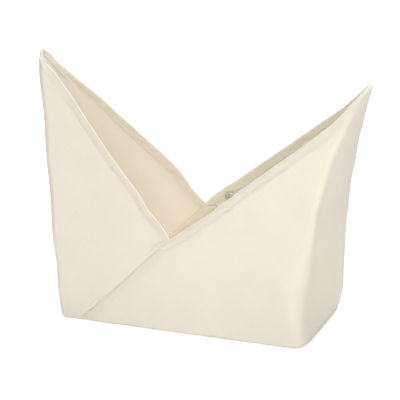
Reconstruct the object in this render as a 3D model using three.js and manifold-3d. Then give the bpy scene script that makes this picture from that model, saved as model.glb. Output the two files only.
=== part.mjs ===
// Cotton food bag of the azuma kind: a boxed body with a V notch front and back, and two pointed
// ears at its ends that lean together as a handle. Millimetres, +Z up, +X to the right ear, -Y front.
// The origin is the middle of the base's underside.
import * as THREE from 'three';
import { mergeVertices } from 'three/addons/utils/BufferGeometryUtils.js';
import Module from 'manifold-3d';

const wasm = await Module();
wasm.setup();

// Body
const BASE_LENGTH = 290;
const BASE_DEPTH = 150;
const BASE_EDGE = 3;
const CREASE_RADIUS = 9;
const END_RETURN = 12;
const FACE_CROWN = 4;
const SIDE_CROWN = 4;

// V notch and ears
const V_HEIGHT = 107;
const V_OFFSET = -19;
const EAR_HEIGHT = 304;
const EAR_REACH = 204;
const SIDE_LEAN = 0.09;
const TAPER_POWER = 2.2;
const TIP_FLAT = 2;

// How far each rim bows towards the mouth at its middle, from the straight line V to tip
const BOW_LEFT_FRONT = 12;
const BOW_LEFT_BACK = -4;
const BOW_RIGHT_FRONT = -11;
const BOW_RIGHT_BACK = 1;

// Cloth, hems and seams
const CLOTH = 1.2;
const GAP = 0.3;
const HEM_WIDTH = 10;
const HEM_THICKNESS = 1.2;
const SEAM_FOOT = -126;
const SEAM_WIDTH = 7;
const SEAM_THICKNESS = 1.2;
const CORNER_SEAM_HEIGHT = 7;
const CORNER_SEAM_LENGTH = 116;
const TACK_LENGTH = 10;
const TACK_HEIGHT = 2;
const TACK_THICKNESS = 0.8;
const TACK_DROP = 4;

// Ear fold: each ear leans inwards about a line across its end wall, level with the V
const FOLD_ANGLE = 58;
const FOLD_RELIEF = 2;

// Sewn snap on the right rims, near the V
const SNAP_RADIUS = 6.25;
const SNAP_THICKNESS = 1.2;
const SNAP_ALONG = 31;
const SNAP_DROP = 9;
const BOSS_RADIUS = 2.8;
const BOSS_HEIGHT = 1;
const SOCKET_RADIUS = 1.6;
const SOCKET_DEPTH = 1.5;
const STUD_RADIUS = 1.4;
const STUD_HEIGHT = 1.6;
const SLOT_COUNT = 4;
const SLOT_LENGTH = 2.2;
const SLOT_WIDTH = 1.1;
const SLOT_RADIUS = 4.5;

// Far outside the bag on every side, for the cutting prisms
const FAR = 2 * (EAR_REACH + EAR_HEIGHT);

const RING_STEPS = 15;
const RIM_STEPS = 12;
const CORNER_STEPS = 3;
const FACE_STEPS = 10;
const SIDE_STEPS = 4;
const SNAP_STEPS = 24;

const COTTON = 0xebe2d0;
const COTTON_INSIDE = 0xe5dac5;
const THREAD = 0xefe8d8;
const STEEL = 0xb9bcc0;

const halfLength = BASE_LENGTH / 2;
const halfDepth = BASE_DEPTH / 2;
const degrees = Math.PI / 180;

// Distance of the end folds from the centre plane: a slight lean, then a flare out to the tips
const flare = (EAR_REACH - halfLength - SIDE_LEAN * EAR_HEIGHT) / EAR_HEIGHT ** 3;

function foldReach(z) {
  return halfLength + SIDE_LEAN * z + flare * z ** 3;
}

// Half the depth across the folds: full at the base, closing in a dome at the tips
function foldDepth(z) {
  const height = THREE.MathUtils.clamp(z / (EAR_HEIGHT + GAP), 0, 1);
  return halfDepth * Math.sqrt(1 - height ** TAPER_POWER);
}

function swell(z) {
  return Math.sin(Math.PI * THREE.MathUtils.clamp(z / EAR_HEIGHT, 0, 1));
}

// Outer half depth of the front or back face at x, z
function faceDepth(x, z) {
  const crown = (FACE_CROWN / halfDepth) * swell(z);
  return foldDepth(z) * (1 + crown * (1 - (x / foldReach(z)) ** 2));
}

// One level loop of the bag, drawn in by inset: a rounded rectangle with gently crowned sides
function ring(z, inset) {
  const a = foldReach(z) - inset;
  const b = foldDepth(z) - inset;
  const r = Math.min(Math.max(CREASE_RADIUS - inset, 1), 0.6 * b);
  const crownX = (SIDE_CROWN / halfLength) * swell(z);
  const crownY = (FACE_CROWN / halfDepth) * swell(z);
  const flat = [];
  const corners = [[1, 1], [-1, 1], [-1, -1], [1, -1]];
  corners.forEach(([sx, sy], corner) => {
    for (let i = 0; i <= CORNER_STEPS; i++) {
      const turn = (corner + i / CORNER_STEPS) * Math.PI / 2;
      flat.push([sx * (a - r) + r * Math.cos(turn), sy * (b - r) + r * Math.sin(turn)]);
    }
    const steps = corner % 2 === 0 ? FACE_STEPS : SIDE_STEPS;
    const [nx, ny] = corners[(corner + 1) % 4];
    const turn = (corner + 1) * Math.PI / 2;
    const [x0, y0] = flat[flat.length - 1];
    const x1 = nx * (a - r) + r * Math.cos(turn);
    const y1 = ny * (b - r) + r * Math.sin(turn);
    for (let i = 1; i < steps; i++) {
      flat.push([x0 + (x1 - x0) * i / steps, y0 + (y1 - y0) * i / steps]);
    }
  });
  return flat.map(([x, y]) => [
    x * (1 + crownX * (1 - (y / b) ** 2)),
    y * (1 + crownY * (1 - (x / a) ** 2)),
    z,
  ]);
}

// A closed solid from loops of equal length stacked along an axis, capped at both ends
function loft(loops, capPoints) {
  const count = loops[0].length;
  const points = loops.flat();
  const faces = [];
  for (let level = 0; level + 1 < loops.length; level++) {
    for (let i = 0; i < count; i++) {
      const j = (i + 1) % count;
      const low = level * count;
      const high = low + count;
      faces.push([low + i, low + j, high + j], [low + i, high + j, high + i]);
    }
  }
  const lastLoop = (loops.length - 1) * count;
  const firstCap = THREE.ShapeUtils.triangulateShape(capPoints(loops[0]), []);
  const lastCap = THREE.ShapeUtils.triangulateShape(capPoints(loops[loops.length - 1]), []);
  firstCap.forEach(([i, j, k]) => faces.push([k, j, i]));
  lastCap.forEach(([i, j, k]) => faces.push([lastLoop + i, lastLoop + j, lastLoop + k]));
  return solidOf(points, faces);
}

function solidOf(points, faces) {
  const solid = new wasm.Manifold(new wasm.Mesh({
    numProp: 3,
    vertProperties: new Float32Array(points.flat()),
    triVerts: new Uint32Array(faces.flat()),
  }));
  return solid.volume() < 0 ? solidOf(points, faces.map(([i, j, k]) => [k, j, i])) : solid;
}

function solidOfGeometry(geometry) {
  geometry.deleteAttribute('normal');
  geometry.deleteAttribute('uv');
  const merged = mergeVertices(geometry, 1e-4);
  return new wasm.Manifold(new wasm.Mesh({
    numProp: 3,
    vertProperties: new Float32Array(merged.attributes.position.array),
    triVerts: new Uint32Array(merged.index.array),
  }));
}

// The whole bag as if filled, drawn in by inset all round, from its floor to the tips
function filledBag(inset) {
  const turned = BASE_EDGE + inset * (Math.SQRT2 - 1);
  const floor = inset;
  let top = EAR_HEIGHT - TIP_FLAT;
  while (foldDepth(top) < inset + 1) {
    top -= 1;
  }
  const loops = [ring(floor, turned)];
  loops.push(ring(turned, inset));
  for (let step = 1; step <= RING_STEPS; step++) {
    const along = Math.sin((step / RING_STEPS) * Math.PI / 2);
    loops.push(ring(turned + (top - turned) * along, inset));
  }
  return loft(loops, (loop) => loop.map(([x, y]) => new THREE.Vector2(x, y)));
}

// A rim from the V to one tip, seen from the front, bowed towards the mouth and let down by drop
function rimCurve(side, bow, drop) {
  const start = new THREE.Vector2(V_OFFSET, V_HEIGHT);
  const end = new THREE.Vector2(side * EAR_REACH, EAR_HEIGHT);
  const along = end.clone().sub(start).normalize();
  const towardsMouth = new THREE.Vector2(-side * along.y, side * along.x);
  const middle = start.clone().add(end).multiplyScalar(0.5).addScaledVector(towardsMouth, 2 * bow);
  const curve = new THREE.QuadraticBezierCurve(start, middle, end);
  const points = curve.getPoints(RIM_STEPS);
  return points.map((point) => point.clone().addScaledVector(towardsMouth, -drop));
}

// Where two dropped rims cross under the V, so that a lowered mouth keeps a clean point
function mouthProfile(bowLeft, bowRight, drop) {
  const left = rimCurve(-1, bowLeft, drop);
  const right = rimCurve(1, bowRight, drop);
  const a = left[0];
  const b = left[1];
  const c = right[0];
  const d = right[1];
  const cross = (b.x - a.x) * (d.y - c.y) - (b.y - a.y) * (d.x - c.x);
  const share = ((c.x - a.x) * (d.y - c.y) - (c.y - a.y) * (d.x - c.x)) / cross;
  const notch = new THREE.Vector2(a.x + (b.x - a.x) * share, a.y + (b.y - a.y) * share);
  const leftEnd = left[left.length - 1];
  const rightEnd = right[right.length - 1];
  return [
    new THREE.Vector2(-FAR, leftEnd.y),
    ...left.slice(1).reverse(),
    notch,
    ...right.slice(1),
    new THREE.Vector2(FAR, rightEnd.y),
    new THREE.Vector2(FAR, FAR),
    new THREE.Vector2(-FAR, FAR),
  ];
}

// A prism along Y between two outlines in X and Z with the same number of points
function prism(frontOutline, backOutline, yFront, yBack) {
  const outlines = [frontOutline, backOutline].map((outline) => (
    THREE.ShapeUtils.isClockWise(outline) ? outline.toReversed() : outline
  ));
  const loops = [
    outlines[0].map((point) => [point.x, yFront, point.y]),
    outlines[1].map((point) => [point.x, yBack, point.y]),
  ];
  return loft(loops, (loop) => loop.map(([x, , z]) => new THREE.Vector2(x, z)));
}

function slab(outline, yFront = -FAR, yBack = FAR) {
  const points = outline.map(([x, z]) => new THREE.Vector2(x, z));
  return prism(points, points, yFront, yBack);
}

// Everything above the rims. Front and back rims bow by their own amounts.
function mouth(drop) {
  const front = mouthProfile(BOW_LEFT_FRONT, BOW_RIGHT_FRONT, drop);
  const back = mouthProfile(BOW_LEFT_BACK, BOW_RIGHT_BACK, drop);
  return prism(front, back, -halfDepth, halfDepth)
    .add(prism(front, front, -FAR, -halfDepth))
    .add(prism(back, back, halfDepth, FAR));
}

const openMouth = mouth(0);
const cloth = filledBag(0).subtract(filledBag(CLOTH)).subtract(openMouth);

// Regions seen from the front that share the cloth out to its pieces
const foldX = foldReach(V_HEIGHT) - CREASE_RADIUS / 2;
const halfGap = GAP / 2;

function endZone(side, clearance) {
  const outline = [[side * FAR, 0]];
  for (let step = 0; step <= RING_STEPS; step++) {
    const z = V_HEIGHT * step / RING_STEPS;
    outline.push([side * (foldReach(z) - END_RETURN - clearance), z]);
  }
  outline.push([side * FAR, V_HEIGHT]);
  return slab(outline);
}

// The part of an ear that leans as one: everything beyond a ray from the fold line
function earZone(side, shift) {
  const angle = (FOLD_ANGLE + FOLD_RELIEF) * degrees;
  const z = V_HEIGHT + halfGap;
  const startX = foldX + shift;
  return slab([
    [side * FAR, z],
    [side * startX, z],
    [side * (startX - FAR * Math.cos(angle)), z + FAR * Math.sin(angle)],
    [side * FAR, z + FAR],
  ]);
}

function frontHalf(clearance) {
  return slab([[-FAR, -FAR], [FAR, -FAR], [FAR, FAR], [-FAR, FAR]], -FAR, -clearance);
}

function backHalf(clearance) {
  return slab([[-FAR, -FAR], [FAR, -FAR], [FAR, FAR], [-FAR, FAR]], clearance, FAR);
}

const bodyTop = V_HEIGHT - halfGap;
const wallFoot = CLOTH + GAP;
const bodyBand = slab([[-FAR, wallFoot], [FAR, wallFoot], [FAR, bodyTop], [-FAR, bodyTop]]);
const walls = cloth.intersect(bodyBand);
const leftEnd = endZone(-1, 0);
const rightEnd = endZone(1, 0);
const endsWithGap = endZone(-1, GAP).add(endZone(1, GAP));

// The seam line runs from the V down to the left end of the base, on the front and back face
const seamLength = Math.hypot(V_OFFSET - SEAM_FOOT, V_HEIGHT);
const seamAlong = [(V_OFFSET - SEAM_FOOT) / seamLength, V_HEIGHT / seamLength];
const seamAcross = [-seamAlong[1], seamAlong[0]];

function seamPoint(along, across) {
  return [
    SEAM_FOOT + seamAlong[0] * along + seamAcross[0] * across,
    seamAlong[1] * along + seamAcross[1] * across,
  ];
}

function aboveSeam(clearance) {
  return slab([
    seamPoint(-FAR, clearance),
    seamPoint(FAR, clearance),
    seamPoint(FAR, FAR),
    seamPoint(-FAR, FAR),
  ]);
}

const leftOfV = slab([[-FAR, -FAR], [V_OFFSET, -FAR], [V_OFFSET, FAR], [-FAR, FAR]]);
const rightOfV = slab([[V_OFFSET, -FAR], [FAR, -FAR], [FAR, FAR], [V_OFFSET, FAR]]);
const faces = walls.subtract(endsWithGap);
const gores = faces.intersect(aboveSeam(halfGap)).intersect(leftOfV);
const mainFaces = faces.subtract(aboveSeam(-halfGap).intersect(leftOfV));

const upper = slab([[-FAR, V_HEIGHT + halfGap], [FAR, V_HEIGHT + halfGap], [FAR, FAR], [-FAR, FAR]]);
const ears = cloth.intersect(upper);
const leftEarZone = earZone(-1, 0);
const rightEarZone = earZone(1, 0);
const leftRoots = ears.subtract(earZone(-1, -GAP)).intersect(leftOfV);
const rightRoots = ears.subtract(earZone(1, -GAP)).intersect(rightOfV);

// A layer lying inside the cloth, one gap away from it
function innerLayer(thickness) {
  return filledBag(CLOTH + GAP).subtract(filledBag(CLOTH + GAP + thickness));
}

const hemBand = innerLayer(HEM_THICKNESS).intersect(mouth(HEM_WIDTH)).subtract(openMouth);
const leftHemSide = slab([
  [-FAR, -FAR], [V_OFFSET - halfGap, -FAR], [V_OFFSET - halfGap, FAR], [-FAR, FAR],
]);
const rightHemSide = slab([
  [V_OFFSET + halfGap, -FAR], [FAR, -FAR], [FAR, FAR], [V_OFFSET + halfGap, FAR],
]);
const leftRootHems = hemBand.subtract(earZone(-1, -GAP)).intersect(leftHemSide);
const rightRootHems = hemBand.subtract(earZone(1, -GAP)).intersect(rightHemSide);

// Seam allowances: a flat band inside the wall, folded to the main cloth's side of the seam
const seamStart = 2 * SEAM_WIDTH;
const seamEnd = seamLength - HEM_WIDTH * Math.SQRT2;
const seamBand = innerLayer(SEAM_THICKNESS).intersect(slab([
  seamPoint(seamStart, -SEAM_WIDTH),
  seamPoint(seamEnd, -SEAM_WIDTH),
  seamPoint(seamEnd, 0),
  seamPoint(seamStart, 0),
]));

// Corner seams: an upright allowance along the foot of each end wall
const cornerFoot = CLOTH + GAP + BASE_EDGE;
const cornerTop = cornerFoot + CORNER_SEAM_HEIGHT;
const cornerBand = innerLayer(SEAM_THICKNESS)
  .intersect(slab(
    [[-FAR, cornerFoot], [FAR, cornerFoot], [FAR, cornerTop], [-FAR, cornerTop]],
    -CORNER_SEAM_LENGTH / 2,
    CORNER_SEAM_LENGTH / 2,
  ));

// Bar tacks: a short bar of thread on the outside of the cloth under each V
const tackTop = V_HEIGHT - TACK_DROP;
const tackBand = filledBag(-GAP - TACK_THICKNESS).subtract(filledBag(-GAP)).intersect(slab([
  [V_OFFSET - TACK_LENGTH / 2, tackTop - TACK_HEIGHT],
  [V_OFFSET + TACK_LENGTH / 2, tackTop - TACK_HEIGHT],
  [V_OFFSET + TACK_LENGTH / 2, tackTop],
  [V_OFFSET - TACK_LENGTH / 2, tackTop],
]));

// The snap's place: along the right rim from the V, then square to it into the cloth
const rightRimLength = Math.hypot(EAR_REACH - V_OFFSET, EAR_HEIGHT - V_HEIGHT);
const rimAlong = [(EAR_REACH - V_OFFSET) / rightRimLength, (EAR_HEIGHT - V_HEIGHT) / rightRimLength];
const snapX = V_OFFSET + rimAlong[0] * SNAP_ALONG + rimAlong[1] * SNAP_DROP;
const snapZ = V_HEIGHT + rimAlong[1] * SNAP_ALONG - rimAlong[0] * SNAP_DROP;
const seatDepth = CLOTH + GAP + HEM_THICKNESS + 2 * GAP;

// A turned disc with sewing slots through its flange
function turned(profile) {
  const points = profile.map(([radius, height]) => new THREE.Vector2(radius, height));
  let disc = solidOfGeometry(new THREE.LatheGeometry(points, SNAP_STEPS));
  const slot = solidOfGeometry(new THREE.BoxGeometry(SLOT_LENGTH, SNAP_RADIUS, SLOT_WIDTH))
    .translate([0, 0, SLOT_RADIUS]);
  for (let i = 0; i < SLOT_COUNT; i++) {
    disc = disc.subtract(slot.rotate([0, 45 + 360 * i / SLOT_COUNT, 0]));
  }
  return disc;
}

// Both halves are turned about Y, with their backs at 0 and their working faces at +Y
function socketShape() {
  const top = SNAP_THICKNESS + BOSS_HEIGHT;
  return turned([
    [0, 0],
    [SNAP_RADIUS, 0],
    [SNAP_RADIUS, SNAP_THICKNESS / 2],
    [SNAP_RADIUS - SNAP_THICKNESS / 2, SNAP_THICKNESS],
    [BOSS_RADIUS, SNAP_THICKNESS],
    [BOSS_RADIUS, top],
    [SOCKET_RADIUS, top],
    [SOCKET_RADIUS, top - SOCKET_DEPTH],
    [0, top - SOCKET_DEPTH],
  ]);
}

function studShape() {
  const top = SNAP_THICKNESS + STUD_HEIGHT;
  return turned([
    [0, 0],
    [SNAP_RADIUS, 0],
    [SNAP_RADIUS, SNAP_THICKNESS / 2],
    [SNAP_RADIUS - SNAP_THICKNESS / 2, SNAP_THICKNESS],
    [STUD_RADIUS, SNAP_THICKNESS],
    [STUD_RADIUS, top - STUD_RADIUS / 2],
    [STUD_RADIUS / 2, top],
    [0, top],
  ]);
}

// side is -1 on the front flap and 1 on the back flap; the working face looks into the bag
function seatSnap(solid, side) {
  const fall = faceDepth(snapX, snapZ - SNAP_RADIUS) - faceDepth(snapX, snapZ + SNAP_RADIUS);
  const tilt = Math.atan2(fall, 2 * SNAP_RADIUS) / degrees;
  const lean = side > 0 ? 180 + tilt : -tilt;
  const depth = faceDepth(snapX, snapZ) - seatDepth;
  return solid.rotate([lean, 0, 0]).translate([snapX, side * depth, snapZ]);
}

const bag = new THREE.Group();

function addPiece(name, solid, color, roughness, metalness) {
  const mesh = solid.getMesh();
  const geometry = new THREE.BufferGeometry();
  const positions = [];
  for (let i = 0; i < mesh.vertProperties.length; i += mesh.numProp) {
    positions.push(mesh.vertProperties[i], mesh.vertProperties[i + 1], mesh.vertProperties[i + 2]);
  }
  geometry.setAttribute('position', new THREE.Float32BufferAttribute(positions, 3));
  geometry.setIndex(Array.from(mesh.triVerts));
  geometry.computeVertexNormals();
  const material = new THREE.MeshStandardMaterial({ color, roughness, metalness });
  const piece = new THREE.Mesh(geometry, material);
  piece.name = name;
  bag.add(piece);
}

function addCloth(name, solid) {
  addPiece(name, solid, COTTON, 0.95, 0);
}

function addLining(name, solid) {
  addPiece(name, solid, COTTON_INSIDE, 0.95, 0);
}

// Main cloth: base, front and back wall, right end wall
addCloth('base', cloth.intersect(slab([[-FAR, -FAR], [FAR, -FAR], [FAR, CLOTH], [-FAR, CLOTH]])));
addCloth('front_wall', mainFaces.intersect(frontHalf(0)));
addCloth('back_wall', mainFaces.intersect(backHalf(0)));
addCloth('right_end_wall', walls.intersect(rightEnd));

// Left panel below the fold: two gores and the left end wall
addCloth('front_gore', gores.intersect(frontHalf(0)));
addCloth('back_gore', gores.intersect(backHalf(0)));
addCloth('left_end_wall', walls.intersect(leftEnd));

// Ear roots: the cloth between the body and the leaning ear, which crumples as the ear folds
addCloth('left_root_front', leftRoots.intersect(frontHalf(0)));
addCloth('left_root_back', leftRoots.intersect(backHalf(0)));
addCloth('right_root_front', rightRoots.intersect(frontHalf(0)));
addCloth('right_root_back', rightRoots.intersect(backHalf(0)));

// Ears
addCloth('left_ear', ears.intersect(leftEarZone));
addCloth('right_ear', ears.intersect(rightEarZone));

// Rim hems, the part on each ear and the part on its root
const leftEarHems = hemBand.intersect(leftEarZone);
const rightEarHems = hemBand.intersect(rightEarZone);
addLining('left_front_hem', leftEarHems.intersect(frontHalf(halfGap)));
addLining('left_back_hem', leftEarHems.intersect(backHalf(halfGap)));
addLining('right_front_hem', rightEarHems.intersect(frontHalf(halfGap)));
addLining('right_back_hem', rightEarHems.intersect(backHalf(halfGap)));
addLining('left_front_hem_root', leftRootHems.intersect(frontHalf(0)));
addLining('left_back_hem_root', leftRootHems.intersect(backHalf(0)));
addLining('right_front_hem_root', rightRootHems.intersect(frontHalf(0)));
addLining('right_back_hem_root', rightRootHems.intersect(backHalf(0)));

// Seams
addLining('front_seam', seamBand.intersect(frontHalf(0)));
addLining('back_seam', seamBand.intersect(backHalf(0)));
addLining('left_corner_seam', cornerBand.intersect(leftEnd));
addLining('right_corner_seam', cornerBand.intersect(rightEnd));
addPiece('front_tack', tackBand.intersect(frontHalf(0)), THREAD, 0.7, 0);
addPiece('back_tack', tackBand.intersect(backHalf(0)), THREAD, 0.7, 0);

// Snap
addPiece('snap_socket', seatSnap(socketShape(), 1), STEEL, 0.35, 1);
addPiece('snap_stud', seatSnap(studShape(), -1), STEEL, 0.35, 1);

export default bag;
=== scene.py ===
import math

import bmesh
import bpy
import numpy as np
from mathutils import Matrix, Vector


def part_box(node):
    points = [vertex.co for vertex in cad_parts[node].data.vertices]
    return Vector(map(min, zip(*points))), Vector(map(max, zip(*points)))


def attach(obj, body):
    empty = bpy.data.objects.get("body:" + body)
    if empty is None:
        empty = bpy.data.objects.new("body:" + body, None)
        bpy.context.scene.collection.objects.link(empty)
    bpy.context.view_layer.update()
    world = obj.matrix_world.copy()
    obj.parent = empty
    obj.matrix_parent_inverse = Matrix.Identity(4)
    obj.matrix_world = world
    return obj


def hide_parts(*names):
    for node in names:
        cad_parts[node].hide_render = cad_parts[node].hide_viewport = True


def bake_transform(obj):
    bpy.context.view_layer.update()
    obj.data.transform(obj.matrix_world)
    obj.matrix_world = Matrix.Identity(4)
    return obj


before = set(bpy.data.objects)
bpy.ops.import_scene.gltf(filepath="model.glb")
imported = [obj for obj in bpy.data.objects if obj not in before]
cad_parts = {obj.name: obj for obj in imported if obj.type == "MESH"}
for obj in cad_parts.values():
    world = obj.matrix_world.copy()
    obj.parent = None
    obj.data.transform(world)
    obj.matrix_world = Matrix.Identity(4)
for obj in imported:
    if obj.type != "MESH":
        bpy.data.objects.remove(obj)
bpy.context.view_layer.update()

scene = bpy.context.scene

# Camera: a long lens from the right of the front and a little above, far enough back that the
# bag's upright folds stay almost parallel. It aims at the middle of the bag.
camera_azimuth, camera_elevation = math.radians(20.1), math.radians(21.6)
camera_distance, lens_length, sensor_width = 3.48, 263.4, 36.0
aim_right, aim_up = -0.0019, 0.1311
camera_back = Vector((
    math.sin(camera_azimuth) * math.cos(camera_elevation),
    -math.cos(camera_azimuth) * math.cos(camera_elevation),
    math.sin(camera_elevation),
))
camera_right = Vector((math.cos(camera_azimuth), math.sin(camera_azimuth), 0.0))
camera_up = camera_back.cross(camera_right)
camera_data = bpy.data.cameras.new("photo_camera")
camera_data.sensor_width = sensor_width
camera_data.lens = lens_length
camera = bpy.data.objects.new("photo_camera", camera_data)
scene.collection.objects.link(camera)
camera.location = camera_back * camera_distance
aim = camera_right * aim_right + camera_up * aim_up
camera.rotation_mode = "QUATERNION"
camera.rotation_quaternion = (aim - camera.location).to_track_quat("-Z", "Y")
scene.camera = camera
scene.view_settings.view_transform = "Standard"


# Left panel: one square of unbleached cotton canvas, folded round the left end and sewn to the
# main cloth along the front and back seams. It makes both flaps of the left ear, the end wall
# and the gores.
def srgb(code):
    """A colour written as six hex digits, turned into linear light."""
    parts = [int(code[i:i + 2], 16) / 255 for i in (0, 2, 4)]
    return [p / 12.92 if p <= 0.04045 else ((p + 0.055) / 1.055) ** 2.4 for p in parts] + [1.0]


def new_finish(name):
    """A new material, its node tree and its shader."""
    material = bpy.data.materials.new(name)
    material.use_nodes = True
    return material, material.node_tree, material.node_tree.nodes["Principled BSDF"]


def add_node(tree, kind, inputs=(), **settings):
    """A shader node with its settings. Its inputs, a list from the first one on or a dict by name,
    are set to values, or linked to sockets or to the first output of a node."""
    node = tree.nodes.new("ShaderNode" + kind)
    for key, value in settings.items():
        setattr(node, key, value)
    by_key = inputs if isinstance(inputs, dict) else dict(enumerate(inputs))
    for key, value in by_key.items():
        if isinstance(value, bpy.types.Node):
            value = value.outputs[0]
        if isinstance(value, bpy.types.NodeSocket):
            tree.links.new(value, node.inputs[key])
        else:
            node.inputs[key].default_value = value
    return node


# Unbleached cotton canvas, woven plain: warm off-white, matt and a little fuzzy, with darker and
# lighter threads in it, and thin enough to let some light through. Real threads lie 0.6 mm apart,
# which is half a pixel in the photograph's frame, so they are drawn twice as far apart.
MM = 0.001
THREAD_SPACING = 1.25
THREAD_RELIEF, SLUB_RELIEF = 0.14, 0.30
canvas, cloth, canvas_shader = new_finish("unbleached_canvas")

# The map "weave" holds the flat cloth in metres along its two sets of threads. Each thread rises
# and falls like a sine as it passes over and under the crossing threads.
flat_cloth = add_node(cloth, "UVMap", uv_map="weave")
both_ways = add_node(cloth, "SeparateXYZ", [flat_cloth])
half_turns = math.pi / (THREAD_SPACING * MM)
threads, waves = [], []
for way in (0, 1):
    turn = add_node(cloth, "Math", [both_ways.outputs[way], half_turns], operation="MULTIPLY")
    sine = add_node(cloth, "Math", [turn], operation="SINE")
    threads.append(add_node(cloth, "Math", [sine], operation="ABSOLUTE"))
    waves.append(add_node(cloth, "Math", [turn], operation="COSINE"))
crossing = add_node(cloth, "Math", waves, operation="MULTIPLY")
over = add_node(cloth, "Math", [crossing, 0.5, 0.5], operation="MULTIPLY_ADD")
under = add_node(cloth, "Math", [1.0, over], operation="SUBTRACT")
warp = add_node(cloth, "Math", [threads[0], over], operation="MULTIPLY")
woven = add_node(cloth, "Math", [threads[1], under, warp], operation="MULTIPLY_ADD")

# Slubs are noise stretched along the threads, one in 1.9 mm across them and one in 33 mm along
# them. The shade drifts too, over some 70 mm. Slubs change it by a tenth at most, and the drift
# by about half as much. The weave changes it about as much again as painted shade: darker in the
# gaps between the threads and lighter on their crests, on top of the bump that gives its relief.
SLUBS_ACROSS, SLUBS_ALONG, DRIFTS = 520.0, 30.0, 14.0
slubs = []
for stretch in ((SLUBS_ACROSS, SLUBS_ALONG, 1.0), (SLUBS_ALONG, SLUBS_ACROSS, 1.0)):
    drawn = add_node(cloth, "Mapping", {"Vector": flat_cloth, "Scale": stretch})
    slubs.append(add_node(cloth, "TexNoise", {"Vector": drawn, "Scale": 1.0, "Detail": 2.0}))
slub_pair = add_node(cloth, "Math", slubs, operation="ADD")
slub = add_node(cloth, "Math", [slub_pair, 0.5], operation="MULTIPLY")
drift = add_node(cloth, "TexNoise", {"Vector": flat_cloth, "Scale": DRIFTS, "Detail": 2.0})
slub_shade = add_node(cloth, "Math", [slub, 0.10, 0.92], operation="MULTIPLY_ADD")
wide_shade = add_node(cloth, "Math", [drift, 0.06, slub_shade], operation="MULTIPLY_ADD")
# Painted shade in the weave: darker in the gaps between the threads, lighter on their crests.
weave_painted_shade = add_node(cloth, "Math", [woven, 0.05, 0.965], operation="MULTIPLY_ADD")
shade = add_node(cloth, "Math", [wide_shade, weave_painted_shade], operation="MULTIPLY")
grey = add_node(cloth, "CombineColor", [shade, shade, shade])
tinted = add_node(
    cloth, "Mix", {0: 1.0, 6: srgb("F3ECDF"), 7: grey}, data_type="RGBA", blend_type="MULTIPLY"
)
slub_height = add_node(cloth, "Math", [slub, SLUB_RELIEF * MM], operation="MULTIPLY")
height = add_node(
    cloth, "Math", [woven, THREAD_RELIEF * MM, slub_height], operation="MULTIPLY_ADD"
)
relief = add_node(cloth, "Bump", {"Height": height, "Distance": 1.0, "Strength": 1.0})
cloth.links.new(tinted.outputs[2], canvas_shader.inputs["Base Color"])
cloth.links.new(relief.outputs[0], canvas_shader.inputs["Normal"])
canvas_shader.inputs["Roughness"].default_value = 0.92
canvas_shader.inputs["Specular IOR Level"].default_value = 0.2
canvas_shader.inputs["Sheen Weight"].default_value = 0.08
canvas_shader.inputs["Sheen Roughness"].default_value = 0.5
canvas_shader.inputs["Subsurface Weight"].default_value = 0.3
canvas_shader.inputs["Subsurface Radius"].default_value = (1.0, 1.0, 1.0)
canvas_shader.inputs["Subsurface Scale"].default_value = 2.2 * MM

# Every cloth piece lies on one skin, worked out in millimetres. A face is -1 for the front and 1
# for the back, and an end is -1 for the left and 1 for the right. Across is the way round the bag
# from the middle of a face, negative to the left, on round the upright fold and over the end wall.
TIP = 302.5
HALF_LENGTH, HALF_DEPTH = 145.0, 75.0
V_HEIGHT, V_ACROSS = 107.0, -19.5
SEAM_FOOT = -126.0
CANVAS_THICKNESS = 0.7
FRONT_EDGE, END_EDGE = 2.5, 5.0
STITCH_LINE = 8.0
SNAP_PLACE = (10.1, 120.7)

# The rims of the two ears, front and back: the height of a point, and how far across it lies.
RIM_POINTS = {
    (-1, -1): [(107, -19.5), (111, -14.6), (115, -15.4), (121, -18.8), (131, -26.7),
               (144.5, -40.5), (162.6, -54.2), (198.6, -88.5), (242.6, -129.6), (267.6, -153.9),
               (285.7, -175.8), (296.5, -193.5), (302.5, -198.8)],
    (1, -1): [(107, -19.5), (110, -23), (115, -29), (123, -36.5), (147, -55), (191, -103),
              (236, -148), (262, -176.5), (283, -194), (302.5, -198.6)],
    (-1, 1): [(107, -19.5), (112, -12), (125, 5.4), (150, 37.5), (170, 60.3), (188, 81.7),
              (211, 109.8), (233, 137.1), (255.5, 163.6), (271, 179.2), (285, 190.6),
              (292.7, 197), (302.5, 203.4)],
    (1, 1): [(107, -19.5), (109, -20.3), (111, -18.6), (116, -13.5), (129, 1.4), (144.4, 21.7),
             (161.8, 43.3), (196.6, 85.8), (231.4, 127.7), (258.2, 159.7), (274.4, 175.9),
             (290, 191), (302.5, 203)],
}
SLOPE_SPAN = 6.0


def smooth(value, low, high):
    """0 below low, 1 above high and an even S between them."""
    t = np.clip((value - low) / (high - low), 0, 1)
    return t * t * (3 - 2 * t)


def hump(value, middle, width):
    """A bell shape: 1 at the middle, and about a third at a width from it."""
    return np.exp(-(((value - middle) / width) ** 2))


def ripple(p, scale, seed):
    """Slow uneven waves, about 1 high: eight sines of different headings, each from 0.7 to 1.6
    times scale long."""
    rng = np.random.default_rng(seed)
    total = 0.0
    for _ in range(8):
        heading = rng.normal(size=3)
        heading *= 2 * np.pi / (scale * rng.uniform(0.7, 1.6)) / np.linalg.norm(heading)
        total = total + np.sin(p @ heading + rng.uniform(0, 2 * np.pi))
    return total / 2.8


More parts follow.
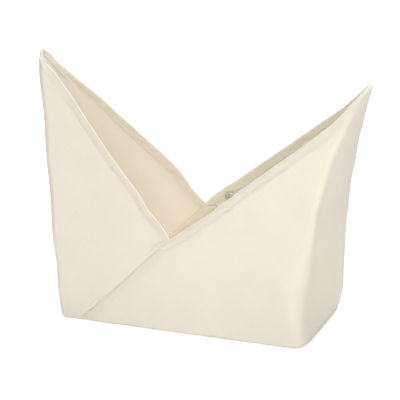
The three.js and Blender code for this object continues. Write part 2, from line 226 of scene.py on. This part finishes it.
def rim_reach(face, end, z):
    """How far across a rim runs at each height, from the V's point out to the ear's tip: a cubic
    between neighbouring points, whose slope at a point is the mean of the slopes beside it."""
    h, v = np.array(RIM_POINTS[face, end], float).T
    steps = np.diff(v) / np.diff(h)
    slope = np.concatenate([[steps[0]], (steps[1:] + steps[:-1]) / 2, [steps[-1]]])
    z = np.clip(np.asarray(z, float), h[0], h[-1])
    i = np.clip(np.searchsorted(h, z, side="right") - 1, 0, len(h) - 2)
    d = h[i + 1] - h[i]
    t = (z - h[i]) / d
    return (
        (2 * t**3 - 3 * t**2 + 1) * v[i]
        + (t**3 - 2 * t**2 + t) * d * slope[i]
        + (3 * t**2 - 2 * t**3) * v[i + 1]
        + (t**3 - t**2) * d * slope[i + 1]
    )


def seam_across(z):
    """The front and back seams run straight from the V down to the left end of the base."""
    down = np.clip(1 - np.asarray(z, float) / V_HEIGHT, 0, 1)
    return V_ACROSS + (SEAM_FOOT - V_ACROSS) * down


def cloth_edge(face, end, z):
    """Where a cloth ends: at the seam up to the V, then at the rim of its own ear."""
    return np.where(z < V_HEIGHT, seam_across(z), rim_reach(face, end, z))


def rim_line(face, end, z):
    """A rim carried on below the V: the right rim runs on as the seam, the left one straight."""
    z = np.asarray(z, float)
    if end > 0:
        return cloth_edge(face, end, z)
    below = np.minimum(z - V_HEIGHT, 0)
    return rim_reach(face, end, z) + rim_slope(face, end, V_HEIGHT) * below


def rim_slope(face, end, z):
    """Millimetres across for each millimetre up along a rim line. It is taken from one span below
    to one span above for a right rim, and over the next span up for a left one."""
    z = np.asarray(z, float)
    if end > 0:
        low, high = z - SLOPE_SPAN, np.minimum(z + SLOPE_SPAN, TIP)
        return (rim_line(face, end, high) - rim_line(face, end, low)) / (high - low)
    low = np.clip(z, V_HEIGHT, TIP - SLOPE_SPAN)
    high = low + SLOPE_SPAN
    return (rim_reach(face, end, high) - rim_reach(face, end, low)) / SLOPE_SPAN


def end_reach(end, z):
    """Distance of the upright folds from the middle: nearly upright at first, then flaring out.
    On the right the foot is drawn in, on the left the belly is, a little."""
    if end < 0:
        return 147.5 + 0.2026 * z - 8.6e-4 * z**2 + 2.52e-6 * z**3 - 1.8 * hump(z, 70, 28)
    drawn_in = 2.4 * hump(z, 0, 25) + 2.0 * hump(z, 40, 30)
    return 148.2 + 0.095 * z - 3.0e-4 * z**2 + 2.02e-6 * z**3 - drawn_in


def fold_depth(z):
    """Half the depth of the bag at the folds: a dome that closes at the tips, drawn to a point
    over the last few millimetres."""
    dome = np.sqrt(1 - np.clip(z / (TIP + 0.5), 0, 1) ** 2.2)
    return HALF_DEPTH * dome * np.sqrt(np.clip((TIP + 1.2 - z) / 9.0, 0.02, 1))


def fold_radius(face, end, z):
    """How round the upright folds are: tight at the base, slack a quarter of the way up, most so
    at the front right."""
    slack = {(-1, 1): 19.0, (1, 1): 6.0, (-1, -1): 0.0, (1, -1): 3.0}[face, end]
    radius = 4.5 + slack * hump(z, 66, 40) + 3.0 * np.clip(z / 120, 0, 1)
    return np.minimum(radius, 0.6 * fold_depth(z))


def edge_inset(z, radius):
    """The base edge is rounded: a quarter circle turns the walls into the base."""
    low = np.clip(radius - z, 0, None)
    return radius - np.sqrt(np.clip(radius**2 - low**2, 0, None))


def loop_size(face, end, z):
    """Half the length, half the depth and the corner radius of the level loop at each height, less
    what the rounded base edge takes off them."""
    inset = edge_inset(z, FRONT_EDGE)
    a = end_reach(end, z) - edge_inset(z, END_EDGE)
    return a, fold_depth(z) - inset, np.maximum(fold_radius(face, end, z) - inset, 0.3)


def bulge(x, y, z, end, a, b, face):
    """A loop's straight sides bow out, each by a share of its own reach, most half way along. The
    right end stands askew too, least at its foot: its back fold is pushed out and its front fold
    drawn in. The front and back are splayed a little where they meet the base."""
    rise = np.sin(np.pi * np.clip(z / TIP, 0, 1))
    foot = hump(z, 0, 30)
    end_bow = np.where(end > 0, 6.5 * foot + 1.5, 2.0 + 2.0 * rise)
    crown = np.where(end > 0, 2 + 4 * foot, 2)
    askew = 4.6 * hump(z, 52, 38) + 1.3 - 4.0 * hump(z, 0, 12)
    near_end = np.clip((x - a + 60) / 60, 0, 1.2) ** 2
    x_out = x * (1 + end_bow / HALF_LENGTH * (1 - np.abs(y / b) ** crown))
    x_out = x_out + np.where(end > 0, askew * face * y / HALF_DEPTH * near_end, 0)
    front_bow, splay = 4.0 * rise, 2.4 * hump(z, 0, 14)
    y_out = y * (1 + front_bow / HALF_DEPTH * (1 - (x / a) ** 2) + splay / HALF_DEPTH)
    return x_out, y_out


def bare_skin(face, across, z):
    """A level loop of the bag is a rectangle with rounded corners. Going across from the middle
    of a face, a point lies on the face, then on the corner's arc, then on the end wall."""
    across, z = np.broadcast_arrays(np.asarray(across, float), np.asarray(z, float))
    end = np.where(across < 0, -1.0, 1.0)
    both = zip(loop_size(face, -1, z), loop_size(face, 1, z))
    a, b, r = (np.where(end < 0, left, right) for left, right in both)
    u = np.abs(across)
    turn = np.clip((u - (a - r)) / r, 0, np.pi / 2)
    past = np.maximum(u - (a - r) - r * np.pi / 2, 0)
    x = np.where(u < a - r, u, a - r + r * np.sin(turn))
    y = np.where(u < a - r, b, b - r + r * np.cos(turn) - past)
    x, y = bulge(x, y, z, end, a, b, face)
    return np.stack([end * x, face * y, z], -1)


def hem_relief(face, across, z, p):
    """How the sewing shapes the cloth, in millimetres outwards. Square to the rim the cloth rolls
    up over the hem and dips under the stitches, with puckers every 8 to 18 mm along them. Square
    to the seam it dips into a groove and is raised over the folded allowances beside it. The
    seam's part fades out at the base, and fades to a quarter at the V."""
    side = np.where(across < seam_across(z), -1, 1)
    edge = np.where(side < 0, rim_line(face, -1, z), rim_line(face, 1, z))
    lean = np.where(side < 0, rim_slope(face, -1, z), rim_slope(face, 1, z))
    inward = np.maximum((across - edge) * side, 0) / np.sqrt(1 + lean**2)
    hemmed = smooth(z, 90, 112) * smooth(TIP - z, 1, 22)
    pucker = ripple(p, scale=11.0, seed=21)
    roll = 0.45 * hump(inward, 2.0, 2.6)
    dip = (-0.7 + 0.4 * pucker) * hump(inward, STITCH_LINE, 1.4)
    crimp = 0.28 * pucker * hump(inward, STITCH_LINE, 5.0)
    above = np.maximum(z - V_HEIGHT, 0)
    from_seam = (across - seam_across(z)) / math.sqrt(2)
    beside = np.hypot(from_seam * np.where(above > 0, 1.2, 1), above)
    groove = -0.55 * np.exp(-((beside / 1.1) ** 1.5))
    under = (1 - hemmed) * (side > 0) * smooth(beside, 0, 2) * (1 - smooth(beside, 7.5, 11))
    uneven = 1 + 0.8 * ripple(p, scale=9.0, seed=33)
    ridge = 0.35 * hump(beside, 2.8, 1.5) * uneven
    sewn_low = smooth(z, 2, 14) * (1 - 0.75 * smooth(z, 104, 108))
    return hemmed * (roll + dip + crimp) + sewn_low * (groove + 0.2 * under + ridge)


def skin(face, across, z):
    """The bag's skin with its shape as sewn and worn: soft waves in the walls, a hollow in the
    right end near its front fold, the sewing's relief, a facet at the lower left where the seam
    runs into the base, a pinch at the foot of the right front fold, where the end's seam stops,
    and a dent where the sewn snap pulls the cloth in."""
    p = bare_skin(face, across, z)
    x, y, height = p[..., 0], p[..., 1], p[..., 2]
    fade = np.clip(height / 30, 0, 1) * np.clip((TIP - height) / 60, 0, 1)
    wave = (1.0 * ripple(p, scale=120.0, seed=4) + 0.45 * ripple(p, scale=52.0, seed=9)) * fade
    end_share = smooth(np.abs(x), 132, 158)
    hollow = 3.5 * hump(y, -30, 30) * hump(height, 120, 60)
    sewn = hem_relief(face, np.asarray(across, float), np.asarray(z, float), p)
    facet = smooth(x, -150, -124) * (1 - smooth(x, -120, -106)) * smooth(height, 0, 3)
    facet = 1.7 * facet * (1 - smooth(height, 3, 10.5))
    pinch = 1.8 * hump(x, 143, 3.0) * hump(height, 7, 2.6)
    from_snap = np.hypot(x - SNAP_PLACE[0], height - SNAP_PLACE[1])
    seat = np.where(y < 0, 0.8, 0.4) * np.exp(-((from_snap / 10.5) ** 4))
    x = x + np.sign(x) * end_share * (wave + 0.7 * sewn - np.where(x > 0, hollow, 0))
    out = (1 - end_share) * wave * np.clip(np.abs(y) / 40, 0, 1) + (1 - 0.7 * end_share) * sewn
    y = y + face * smooth(np.abs(y) / fold_depth(height), 0.3, 0.7) * (out - facet)
    y = y + (y < -55) * (x > 130) * pinch - np.sign(y) * seat
    return np.stack([x, y, height], -1)


def skin_normal(face, across, z):
    """The outward normal of the skin, from small steps along it."""
    step = 0.4
    side = skin(face, across + step, z) - skin(face, across - step, z)
    rise = skin(face, across, z + step) - skin(face, across, z - step)
    normal = np.cross(side, rise) * -face
    return normal / np.maximum(np.linalg.norm(normal, axis=-1, keepdims=True), 1e-9)


def end_middle(face, end, z):
    """How far across the middle of an end wall lies."""
    a, b, r = loop_size(face, end, z)
    return end * (a - r + r * np.pi / 2 + b - r)


def columns(face, end, z, start, counts):
    """Places across for each height, from start to the end wall's middle: some on the face,
    crowded towards start, some on the fold's arc and some on the end wall."""
    least, crowding = 0.1, 1.5
    a, _, r = loop_size(face, end, z)
    arc_start = np.maximum(a - r, start * end + least)
    arc_end = arc_start + r * np.pi / 2
    middle = np.maximum(end_middle(face, end, z) * end, arc_end + least)
    on_face, on_arc, on_end = (np.linspace(0, 1, n + 1) for n in counts)
    parts = [
        start[:, None] * end + (arc_start - start * end)[:, None] * on_face[None, :-1] ** crowding,
        arc_start[:, None] + (arc_end - arc_start)[:, None] * on_arc[None, :-1],
        arc_end[:, None] + (middle - arc_end)[:, None] * on_end[None, :],
    ]
    return end * np.concatenate(parts, 1)


def as_piece(name, mesh, material):
    """A mesh as a smooth piece of the scene, with its material."""
    mesh.shade_smooth()
    mesh.materials.append(material)
    piece = bpy.data.objects.new(name, mesh)
    scene.collection.objects.link(piece)
    return piece


def surface(name, patches):
    """A piece of canvas from grids of points in millimetres. A patch is (points, weave, outward,
    closed): weave holds the flat cloth's place in metres for each corner, outward tells which way
    the faces turn, and a closed patch joins its last column to its first and gets an end face at
    both ends. Points that fall together are merged."""
    weld_distance = 0.002 * MM
    here, ahead = slice(None, -1), slice(1, None)
    corners = [(here, here), (here, ahead), (ahead, ahead), (ahead, here)]
    vertices, faces, maps = [], [], []
    first = 0
    for points, weave, outward, closed in patches:
        rows, cols = points.shape[:2]
        index = first + np.arange(rows * cols).reshape(rows, cols)
        if closed:
            index = np.concatenate([index, index[:, :1]], 1)
        order = corners if outward else corners[::-1]
        faces.extend(np.stack([index[c] for c in order], -1).reshape(-1, 4).tolist())
        maps.append(np.stack([weave[c] for c in order], -2).reshape(-1, 2))
        if closed:
            for row, turned in ((0, outward), (-1, not outward)):
                step = -1 if turned else 1
                faces.append(index[row, :cols][::step].tolist())
                maps.append(weave[row, :cols][::step])
        vertices.append(points.reshape(-1, 3) * MM)
        first += rows * cols
    mesh = bpy.data.meshes.new(name)
    mesh.from_pydata(np.concatenate(vertices), [], faces)
    layer = mesh.uv_layers.new(name="weave")
    layer.data.foreach_set("uv", np.concatenate(maps).astype(np.float32).ravel())
    welded = bmesh.new()
    welded.from_mesh(mesh)
    bmesh.ops.remove_doubles(welded, verts=welded.verts, dist=weld_distance)
    welded.to_mesh(mesh)
    welded.free()
    return as_piece(name, mesh, canvas)


def whole_cloth(name, patches):
    """A cut of canvas: a surface with the cloth's thickness laid on its inner side."""
    piece = surface(name, patches)
    solid = piece.modifiers.new("cloth_thickness", "SOLIDIFY")
    solid.thickness = CANVAS_THICKNESS * MM
    solid.offset = -1.0
    return piece


def bias(across, z):
    """The cloth is cut on the bias: its threads run at 45 degrees to the upright."""
    across, z = np.broadcast_arrays(across, z)
    return np.stack([across + z, z - across], -1) * MM / math.sqrt(2)


def bend(piece):
    """Bakes the piece's placement into its mesh and leaves it unbent. On the bag, canvas that
    crosses from the standing body to an ear bends over a hand's width, along the line that leans
    out from under the ear's fold."""
    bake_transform(piece)


# Rows of points up the bag: close together round the base edge, then even through the walls and
# the ears, and a little closer again where the ears close to their tips.
EARS_CLOSE = 270.0
heights = np.concatenate([
    END_EDGE * (1 - np.cos(np.linspace(0, np.pi / 2, 7)))[:-1],
    np.linspace(END_EDGE, V_HEIGHT, 56)[:-1],
    np.linspace(V_HEIGHT, EARS_CLOSE, 90)[:-1],
    EARS_CLOSE + (TIP - EARS_CLOSE) * np.linspace(0, 1, 24) ** 0.9,
])
level = heights[:, None]


def wrapped(end, counts):
    """The cloth of one end, from its front edge round the end wall to its back edge. Its weave
    runs on past the middle of the end wall: the back's places across are mirrored there."""
    front, back = (
        columns(face, end, heights, cloth_edge(face, end, heights), counts) for face in (-1, 1)
    )
    unrolled = 2 * back[:, -1:] - back
    points = np.concatenate([skin(-1, front, level), skin(1, back, level)[:, -2::-1]], 1)
    weave = np.concatenate([bias(front, level), bias(unrolled, level)[:, -2::-1]], 1)
    return points, weave


left_points, left_weave = wrapped(-1, (56, 6, 16))
left_panel = whole_cloth("left_panel_cloth", [(left_points, left_weave, False, False)])
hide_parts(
    "left_ear", "left_root_front", "left_root_back", "front_gore", "back_gore",
    "left_end_wall",
)
bend(left_panel)


# Main cloth: one long strip of the canvas. It makes the front wall, the right end and ear, the
# back wall and the base under them. The base's edge is creased to a small radius.
BASE_LINE = 70.0
BASE_RINGS = 16


def base_rings(loop):
    """The base fills the lowest loop with smaller and smaller ones, down to a line along its
    middle: each point moves straight towards the nearest point of that line."""
    along = np.clip((loop[:, 0] + loop[::-1, 0]) / 2, -BASE_LINE, BASE_LINE)
    middle = np.stack([along, 0 * along, 0 * along], -1)
    share = np.linspace(0, 1, BASE_RINGS)[:, None, None]
    rings = loop[None] + (middle - loop)[None] * share
    return rings, bias(rings[..., 0], rings[..., 1])


right_points, right_weave = wrapped(1, (84, 9, 20))
right_rings, right_ring_weave = base_rings(right_points[0])
left_rings, left_ring_weave = base_rings(left_points[0])
main_cloth = whole_cloth(
    "main_cloth",
    [
        (right_points, right_weave, True, False),
        (right_rings, right_ring_weave, False, False),
        (left_rings, left_ring_weave, True, False),
    ],
)
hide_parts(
    "right_ear", "right_root_front", "right_root_back", "front_wall", "back_wall",
    "right_end_wall", "base",
)
bend(main_cloth)


# Hems: the rims of both ears are turned in twice and stitched, which makes a flat band three
# cloths thick with a rounded edge. The band narrows where it runs into a tip.
HEM_WIDTH = 10.0
HEM_ROOM, NARROWEST = 0.62, 0.12
HEM_STATIONS = 190
TIP_GAP = 0.7
SIDES = {-1: "left", 1: "right"}
FACES = {-1: "front", 1: "back"}

# A hem's section: the distance inward from the rim, and the height over the skin's outer face.
HEM_LOOP = np.array([
    (0.2, 0.06), (-0.5, -0.05), (-1.0, -0.5), (-1.15, -1.1), (-0.95, -1.75), (-0.3, -2.3),
    (1.0, -2.5), (3.5, -2.5), (6.4, -2.3), (7.3, -1.8), (8.0, -1.5), (8.7, -1.8), (9.4, -2.2),
    (10.1, -2.1), (10.5, -1.6), (10.2, -0.9), (8.0, -0.66), (4.0, -0.62), (0.6, -0.6), (0.1, -0.3),
])


def run_of(line):
    """How far along a line of points each of them lies: the sum of the steps before it."""
    return np.cumsum(np.linalg.norm(np.diff(line, axis=0, prepend=line[:1]), axis=1))


def closed_run(loop, last_step):
    """How far round a closed loop each point lies, with the first point again at the end."""
    run = run_of(loop)
    return np.append(run, run[-1] + last_step)[None]


def laid_on(face, across, z, height):
    """Points at a height over the skin's outer face."""
    return skin(face, across, z) + skin_normal(face, across, z) * height[..., None]


def hem_share(face, end, z):
    """The share of its width that a hem keeps. It takes up no more than its part of the room
    between the rim and the middle of the end wall, so it gets narrow towards a tip."""
    room = np.abs(end_middle(face, end, z)) - np.abs(rim_line(face, end, z))
    return np.clip(room * HEM_ROOM / HEM_WIDTH, NARROWEST, 1)


def beside_rim(face, end, inward, z):
    """Places across at a distance inward from a rim, measured square to it."""
    slant = np.sqrt(1 + rim_slope(face, end, z) ** 2)
    return rim_line(face, end, z) + end * inward * hem_share(face, end, z) * slant


def hem_band(face, end, start_z, stop_z, stations):
    """The loop of HEM_LOOP carried along a rim. It keeps to the cloth: a column that lies further
    in starts lower, where the left rim's band meets the seam."""
    share = np.linspace(0, 1, stations)[:, None]
    inward, height = HEM_LOOP[:, 0][None], HEM_LOOP[:, 1][None]
    lean = float(rim_slope(face, end, start_z))
    drop = inward * math.sqrt(1 + lean**2) / (1 + abs(lean)) if end < 0 else 0 * inward
    z = (start_z - drop) + (stop_z - start_z + drop) * share
    flatter = np.clip(hem_share(face, end, z), 0.5, 1)
    points = laid_on(face, beside_rim(face, end, inward, z), z, height * flatter)
    along = run_of(points[:, 0])[:, None]
    girth = closed_run(HEM_LOOP, 0.4)
    return points, bias(girth + 0 * along, along + 0 * girth)


for face in (-1, 1):
    for end in (-1, 1):
        points, weave = hem_band(face, end, V_HEIGHT, TIP - TIP_GAP, HEM_STATIONS)
        name = f"{SIDES[end]}_{FACES[face]}_hem"
        band = surface(name + "_band", [(points, weave, face * end > 0, True)])
        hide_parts(name, name + "_root")
        bend(band)


# Seam allowances: under the V the main cloth's hemmed edge runs on inside the front and the back
# seam, where the left panel is sewn to it. At both ends of the base the boxed corners leave a
# short allowance that stands up against the end wall.
SEAM_START, SEAM_STOP = 4.0, V_HEIGHT - 0.6
SEAM_STATIONS = 70
CORNER_REACH = 58.0
CORNER_STATIONS = 50

# A corner allowance's section: the height over the floor, and over the skin's outer face.
CORNER_LOOP = np.array([
    (2.4, -0.62), (1.6, -1.4), (2.2, -2.2), (4.5, -2.5), (7.2, -2.45), (8.6, -2.1), (8.9, -1.4),
    (8.4, -0.75), (6.0, -0.55), (3.6, -0.55),
])


def corner_band(end):
    """The loop of CORNER_LOOP carried across the foot of an end wall, front half and back half."""
    reach = np.linspace(-CORNER_REACH, CORNER_REACH, CORNER_STATIONS)[:, None]
    z, height = CORNER_LOOP[:, 0][None] + 0 * reach, CORNER_LOOP[:, 1][None] + 0 * reach
    front_half, back_half = (
        laid_on(face, end_middle(face, end, z) - end * np.abs(reach), z, height)
        for face in (-1, 1)
    )
    points = np.where((reach < 0)[..., None], front_half, back_half)
    girth = closed_run(CORNER_LOOP, 1.0)
    return points, bias(girth + 0 * reach, reach + 0 * girth)


def allowance(node, patch):
    """A seam's allowance in place of its CAD node. It stays on the standing body."""
    band = surface(node + "_allowance", [patch])
    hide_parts(node)
    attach(band, "bag")
    return band


for face in (-1, 1):
    points, weave = hem_band(face, 1, SEAM_START, SEAM_STOP, SEAM_STATIONS)
    allowance(f"{FACES[face]}_seam", (points, weave, face > 0, True))

for end in (-1, 1):
    points, weave = corner_band(end)
    allowance(f"{SIDES[end]}_corner_seam", (points, weave, end > 0, True))


# Stitches: lockstitches in cotton sewing thread along the inner edge of each hem, seen on both
# sides of the cloth, and a row along each seam allowance.
STITCH_PITCH, STITCH_LENGTH, THREAD_WIDTH, STITCH_SAG = 3.3, 2.6, 0.42, 0.3
OUTER_HEIGHT, INNER_HEIGHT = 0.1, -1.62
ROW_STOP = TIP - 16
ROW_START = {-1: V_HEIGHT - 3, 1: V_HEIGHT + 2}
SEAM_ROW_START, SEAM_ROW_STOP = 8, V_HEIGHT - 3
SIDES_OF_A_THREAD = 6

# Cotton sewing thread, mercerised and twisted: a shade lighter and smoother than the canvas.
# Its twist shows as lighter and darker spots 1.1 mm wide.
TWISTS = 900.0
thread, ply, thread_shader = new_finish("cotton_thread")
thread_place = add_node(ply, "TexCoord").outputs["Object"]
twist = add_node(ply, "TexNoise", {"Vector": thread_place, "Scale": TWISTS, "Detail": 2.0})
thread_tones = add_node(ply, "ValToRGB", [twist])
thread_tones.color_ramp.elements[0].color = srgb("F0E8DA")
thread_tones.color_ramp.elements[1].color = srgb("FFFCF5")
ply.links.new(thread_tones.outputs[0], thread_shader.inputs["Base Color"])
thread_shader.inputs["Roughness"].default_value = 0.6
thread_shader.inputs["Sheen Weight"].default_value = 0.2


def strands(name, centre, along, outward, length, thickness, sag):
    """Short strands of thread, one for each row of centre: a round section with few sides carried
    along a shallow arch, whose thinner ends dive into the cloth by sag."""
    along = along / np.linalg.norm(along, axis=1, keepdims=True)
    outward = outward - along * np.sum(outward * along, axis=1, keepdims=True)
    outward = outward / np.linalg.norm(outward, axis=1, keepdims=True)
    beside = np.cross(along, outward)
    stations = np.array([-1.0, -0.82, -0.4, 0.4, 0.82, 1.0])[None, :, None]
    girth = np.array([0.25, 0.75, 1.0, 1.0, 0.75, 0.25])[None, :, None, None]
    turn = (np.arange(SIDES_OF_A_THREAD) * 2 * np.pi / SIDES_OF_A_THREAD)[None, None, :, None]
    spine = centre[:, None] + along[:, None] * (stations * length / 2)
    spine = spine - outward[:, None] * (sag * stations**4)
    around = outward[:, None, None] * np.cos(turn) + beside[:, None, None] * np.sin(turn)
    points = spine[:, :, None] + around * (thickness / 2 * girth)
    index = np.arange(points[..., 0].size).reshape(points.shape[:3])
    ahead = np.roll(index, -1, axis=2)
    quads = np.stack([index[:, :-1], ahead[:, :-1], ahead[:, 1:], index[:, 1:]], -1).reshape(-1, 4)
    caps = np.concatenate([index[:, 0, ::-1], index[:, -1]])
    mesh = bpy.data.meshes.new(name)
    mesh.from_pydata(points.reshape(-1, 3) * MM, [], quads.tolist() + caps.tolist())
    return as_piece(name, mesh, thread)


def evenly(line, pitch):
    """Places every pitch millimetres along a line of points, with the line's heading there."""
    run = run_of(line)
    marks = np.arange(pitch, run[-1] - pitch, pitch)
    heading = np.gradient(line, axis=0)
    place = [np.interp(marks, run, line[:, k]) for k in range(3)]
    turn = [np.interp(marks, run, heading[:, k]) for k in range(3)]
    return np.stack(place, -1), np.stack(turn, -1)


def stitch_row(name, face, end, low, high, outside):
    """A row of stitches along the stitch line of a rim or seam, on the cloth's outer face or on
    the hem's inner face."""
    z = np.linspace(low, high, 500)
    across = beside_rim(face, end, STITCH_LINE, z)
    normal = skin_normal(face, across, z)
    line = skin(face, across, z) + normal * (OUTER_HEIGHT if outside else INNER_HEIGHT)
    place, heading = evenly(line, STITCH_PITCH)
    toward = np.array([np.interp(place[:, 2], z, normal[:, k]) for k in range(3)]).T
    toward = toward if outside else -toward
    return strands(name, place, heading, toward, STITCH_LENGTH, THREAD_WIDTH, STITCH_SAG)


for face in (-1, 1):
    for end in (-1, 1):
        for outside, part in ((True, "outer"), (False, "inner")):
            name = f"{SIDES[end]}_{FACES[face]}_{part}_stitches"
            row = stitch_row(name, face, end, ROW_START[end], ROW_STOP, outside)
            bend(row)
    name = f"{FACES[face]}_seam_stitches"
    row = stitch_row(name, face, 1, SEAM_ROW_START, SEAM_ROW_STOP, False)
    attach(row, "bag")


# Bar tacks: close zigzag in the same thread under each V, where the pull of the ears meets. The
# strands bridge the seam's groove and lie on the cloth beside it.
TACK_STRANDS = 27
TACK_LENGTH, TACK_THREAD, TACK_SAG, TACK_SLANT = 2.8, 0.62, 0.35, 0.22
TACK_HEIGHT, BRIDGE_RISE, GROOVE_WIDTH, TACK_INSET = 0.35, 0.55, 1.6, 0.3
for face in (-1, 1):
    low, high = (np.array(corner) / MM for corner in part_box(f"{FACES[face]}_tack"))
    half_width = (high[0] - low[0]) / 2 - TACK_INSET
    across = V_ACROSS + np.linspace(-half_width, half_width, TACK_STRANDS)
    middle = np.full(TACK_STRANDS, (low[2] + high[2]) / 2)
    normal = skin_normal(face, across, middle)
    from_seam = np.abs(across - seam_across(middle))
    raised = TACK_HEIGHT + BRIDGE_RISE * np.exp(-((from_seam / GROOVE_WIDTH) ** 1.5))
    place = skin(face, across, middle) + normal * raised[:, None]
    slant = np.where(np.arange(TACK_STRANDS) % 2, TACK_SLANT, -TACK_SLANT)
    heading = np.stack([slant, 0 * slant, 0 * slant + 1], -1)
    tack = strands(
        f"{FACES[face]}_bar_tack", place, heading, normal, TACK_LENGTH, TACK_THREAD, TACK_SAG
    )
    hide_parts(f"{FACES[face]}_tack")
    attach(tack, "bag")


# Snap: two sewn discs of nickel-plated brass, a socket inside the back and a stud inside the front.
# Loops of thread hold each one: they come up through its four slots and go down over its rim.
SLOT_TURNS = np.radians([45.0, 135.0, 225.0, 315.0])
LOOPS_IN_A_SLOT = (-0.4, 0.0, 0.4)
LOOP_REACH, LOOP_RISE, LOOP_DIP = 5.9, 1.05, 0.25
LOOP_LENGTH, LOOP_THREAD, LOOP_SAG = 3.0, 0.4, 1.0

# Nickel-plated brass, tumbled: a warm grey mirror that fine scratches have made a little hazy,
# in patches 1.4 mm wide.
SCRATCHED_PATCHES = 700.0
nickel, plating, nickel_shader = new_finish("nickel_plated_brass")
disc_place = add_node(plating, "TexCoord").outputs["Object"]
haze = add_node(
    plating, "TexNoise", {"Vector": disc_place, "Scale": SCRATCHED_PATCHES, "Detail": 3.0}
)
rough = add_node(plating, "Math", [haze, 0.20, 0.25], operation="MULTIPLY_ADD")
nickel_tones = add_node(plating, "ValToRGB", [haze])
nickel_tones.color_ramp.elements[0].color = srgb("BDB6AA")
nickel_tones.color_ramp.elements[1].color = srgb("D8D3C9")
plating.links.new(rough.outputs[0], nickel_shader.inputs["Roughness"])
plating.links.new(nickel_tones.outputs[0], nickel_shader.inputs["Base Color"])
nickel_shader.inputs["Metallic"].default_value = 1.0

for name in ("snap_socket", "snap_stud"):
    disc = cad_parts[name]
    disc.data.materials.clear()
    disc.data.materials.append(nickel)
    metal = np.array([v.co for v in disc.data.vertices]) / MM
    hub = (metal.min(0) + metal.max(0)) / 2
    thin = np.linalg.svd(metal - metal.mean(0), full_matrices=False)[2][2]
    inward = thin * np.sign(-thin[1] * hub[1])
    beside = np.array([1.0, 0.0, 0.0])
    upward = np.cross(inward, beside)
    back = hub + inward * ((metal - hub) @ inward).min()
    place, heading = [], []
    for turn in SLOT_TURNS:
        away = math.cos(turn) * beside + math.sin(turn) * upward
        sideways = np.cross(inward, away)
        for shift in LOOPS_IN_A_SLOT:
            place.append(back + away * LOOP_REACH + sideways * shift + inward * LOOP_RISE)
            heading.append(away - inward * LOOP_DIP)
    toward = np.tile(inward, (len(place), 1))
    loops = strands(
        name + "_thread", np.array(place), np.array(heading), toward, LOOP_LENGTH, LOOP_THREAD,
        LOOP_SAG,
    )
    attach(loops, "bag")


# Floor and light: a plain white table in an evenly lit white room. The camera sees a part of the
# table's white as its own glow, so that it is white all over but for the bag's soft shadow.
# The lamps are large and a little warm, and face the middle of the bag.
FLOOR_REACH = 6.0
WHITE = (1.0, 1.0, 1.0, 1.0)
TABLE_GLOW, ROOM_LIGHT = 0.62, 0.08


def looked_at(tree):
    """1 for a ray that looks, straight from the camera or by way of a mirror or glass, and 0 for
    one that gathers light."""
    ray = add_node(tree, "LightPath").outputs
    by_way = [ray["Is Glossy Ray"], ray["Is Transmission Ray"]]
    mirrored = add_node(tree, "Math", by_way, operation="MAXIMUM")
    return add_node(tree, "Math", [ray["Is Camera Ray"], mirrored], operation="MAXIMUM")


floor_mesh = bpy.data.meshes.new("floor")
floor_corners = FLOOR_REACH * np.array([(-1, -1, 0), (1, -1, 0), (1, 1, 0), (-1, 1, 0)])
floor_mesh.from_pydata(floor_corners, [], [(0, 1, 2, 3)])
floor = bpy.data.objects.new("floor", floor_mesh)
scene.collection.objects.link(floor)
table_finish, table, table_shader = new_finish("white_table")
table_shader.inputs["Base Color"].default_value = srgb("F4F4F4")
table_shader.inputs["Roughness"].default_value = 0.8
table_shader.inputs["Specular IOR Level"].default_value = 0.1
lit = add_node(table, "BsdfDiffuse", {"Color": srgb("BEBEBE")})
glow = add_node(table, "Emission", {"Color": WHITE, "Strength": TABLE_GLOW})
shown = add_node(table, "AddShader", [lit, glow])
seen = add_node(table, "MixShader", [looked_at(table), table_shader, shown])
table.links.new(seen.outputs[0], table.nodes["Material Output"].inputs["Surface"])
floor_mesh.materials.append(table_finish)

world = bpy.data.worlds.new("white_room")
world.use_nodes = True
room = world.node_tree
room_light = room.nodes["Background"]
room_light.inputs["Color"].default_value = WHITE
room_light.inputs["Strength"].default_value = ROOM_LIGHT
backdrop = add_node(room, "Background", {"Color": WHITE, "Strength": 1.0})
seen = add_node(room, "MixShader", [looked_at(room), room_light, backdrop])
room.links.new(seen.outputs[0], room.nodes["World Output"].inputs["Surface"])
scene.world = world


LAMP_COLOUR = (1.0, 0.985, 0.945)
BAG_MIDDLE = Vector((0, 0, 0.12))


def soft_light(name, place, size, power):
    """A square area light that faces the middle of the bag."""
    data = bpy.data.lights.new(name, "AREA")
    data.color = LAMP_COLOUR
    data.size = size
    data.energy = power
    light = bpy.data.objects.new(name, data)
    light.location = place
    light.rotation_mode = "QUATERNION"
    light.rotation_quaternion = (BAG_MIDDLE - light.location).to_track_quat("-Z", "Y")
    scene.collection.objects.link(light)


soft_light("by_the_camera", (0.9, -2.4, 1.55), size=1.5, power=41)
soft_light("right", (2.3, -0.9, 0.8), size=1.5, power=4)
soft_light("above", (0.3, -0.2, 2.6), size=1.6, power=28)
soft_light("behind", (-0.3, 1.4, 2.4), size=1.5, power=54)
soft_light("behind_low", (-0.4, 2.0, 1.3), size=1.5, power=7)
